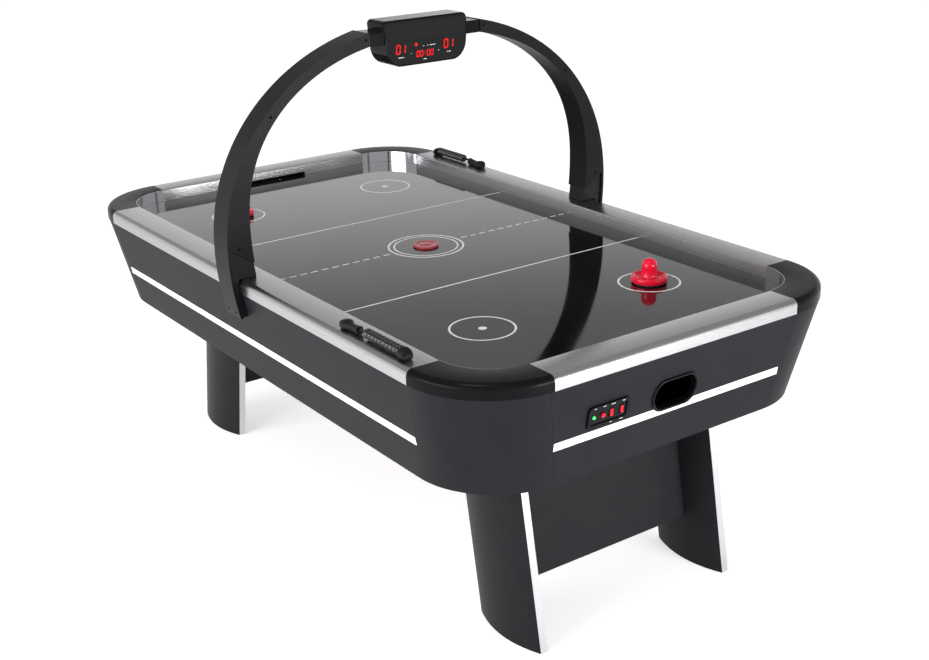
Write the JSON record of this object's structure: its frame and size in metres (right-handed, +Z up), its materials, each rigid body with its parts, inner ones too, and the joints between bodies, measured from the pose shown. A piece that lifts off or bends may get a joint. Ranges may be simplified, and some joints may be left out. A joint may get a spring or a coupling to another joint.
{
  "type": "air hockey table",
  "caption": "Full-size air hockey table with metal rails, splayed lens-shaped legs, goal slots and an overhead scoring arch.",
  "frame": {"origin": "centre of the table on the floor", "axes": "+X along the table towards the end with the controls, +Y across it, +Z up"},
  "size_m": [2.14, 1.296, 1.429],
  "materials": {
    "playfield": "high-gloss black laminate on board",
    "board": "bare fibreboard",
    "aluminium": "satin brushed",
    "charcoal": "charcoal foil, low sheen",
    "leg_black": "black foil, low sheen",
    "gloss_black": "moulded, semi-gloss",
    "matte_black": "fine moulded grain",
    "arch_black": "satin moulded",
    "window": "clear over black, glossy",
    "signal_red": "glossy",
    "puck_red": "satin",
    "lamp_green": "translucent, lit",
    "bead_black": "glossy",
    "felt_black": "felt",
    "steel": "plain",
    "chrome_trim": "polished",
    "white_inlay": "satin white",
    "display_red": "lit red segments"
  },
  "bodies": {
    "table": {"arch_beam_left": "arch_black", "arch_beam_right": "arch_black", "arch_saddle_left": "matte_black", "arch_saddle_right": "matte_black", "blower_housing": "matte_black", "blower_motor": "steel", "control_bezel": "matte_black", "corner_cap_far_left": "gloss_black", "corner_cap_far_right": "gloss_black", "corner_cap_near_left": "gloss_black", "corner_cap_near_right": "gloss_black", "corner_panel_far_left": "charcoal", "corner_panel_far_right": "charcoal", "corner_panel_near_left": "charcoal", "corner_panel_near_right": "charcoal", "end_apron_far": "charcoal", "end_apron_near": "charcoal", "end_rail_far": "aluminium", "end_rail_near": "aluminium", "leg_far_left": "leg_black", "leg_far_right": "leg_black", "leg_near_left": "leg_black", "leg_near_right": "leg_black", "leg_panel_far": "leg_black", "leg_panel_near": "leg_black", "playfield": "playfield", "plenum_tray": "board", "power_inlet": "matte_black", "power_lamp": "lamp_green", "puck_return_ring_far": "matte_black", "puck_return_ring_near": "matte_black", "puck_return_tray_far": "matte_black", "puck_return_tray_near": "matte_black", "scoreboard_case": "gloss_black", "scoreboard_window": "window", "scorer_frame_left": "matte_black", "scorer_frame_right": "matte_black", "side_apron_left": "charcoal", "side_apron_right": "charcoal", "side_rail_left": "aluminium", "side_rail_right": "aluminium"},
    "blower_wheel": {"blower_impeller": "matte_black"},
    "power_switch": {"power_rocker": "signal_red"},
    "blower_switch": {"blower_rocker": "signal_red"},
    "reset_key": {"reset_button": "signal_red"},
    "beads_left": {"bead_pair_left_1": "bead_black", "bead_pair_left_2": "bead_black", "bead_pair_left_3": "bead_black", "bead_pair_left_4": "bead_black", "bead_pair_left_5": "bead_black"},
    "beads_right": {"bead_pair_right_1": "bead_black", "bead_pair_right_2": "bead_black", "bead_pair_right_3": "bead_black", "bead_pair_right_4": "bead_black", "bead_pair_right_5": "bead_black"},
    "near_pusher": {"pusher_near": "signal_red", "pusher_felt_near": "felt_black"},
    "far_pusher": {"pusher_far": "signal_red", "pusher_felt_far": "felt_black"},
    "game_puck": {"puck": "puck_red"}
  },
  "joints": [
    {"name": "blower_spin", "type": "hinge", "parent": "table", "child": "blower_wheel", "pos_m": [0, 0, 0.67], "axis": [0, 0, 1], "continuous": true},
    {"name": "power_rocker_tilt", "type": "hinge", "parent": "table", "child": "power_switch", "pos_m": [1.04884, -0.203, 0.66037], "axis": [0, 1, 0], "range_deg": [0, 12]},
    {"name": "blower_rocker_tilt", "type": "hinge", "parent": "table", "child": "blower_switch", "pos_m": [1.04884, -0.172, 0.66037], "axis": [0, 1, 0], "range_deg": [0, 12]},
    {"name": "reset_press", "type": "slide", "parent": "table", "child": "reset_key", "axis": [-0.9819, 0, 0.1895], "range_m": [0, 0.0022], "stiffness_N_per_m": 400, "springref_m": -0.001},
    {"name": "beads_left_slide", "type": "slide", "parent": "table", "child": "beads_left", "axis": [-1, 0, 0], "range_m": [0, 0.031]},
    {"name": "beads_right_slide", "type": "slide", "parent": "table", "child": "beads_right", "axis": [1, 0, 0], "range_m": [0, 0.031]},
    {"name": "near_pusher_slide", "type": "slide", "parent": "table", "child": "near_pusher", "axis": [-1, 0, 0], "range_m": [-0.27, 0.59]},
    {"name": "far_pusher_slide", "type": "slide", "parent": "table", "child": "far_pusher", "axis": [1, 0, 0], "range_m": [-0.27, 0.59]},
    {"name": "puck_glide", "type": "slide", "parent": "table", "child": "game_puck", "axis": [1, 0, 0], "range_m": [-0.93, 0.93]}
  ]
}
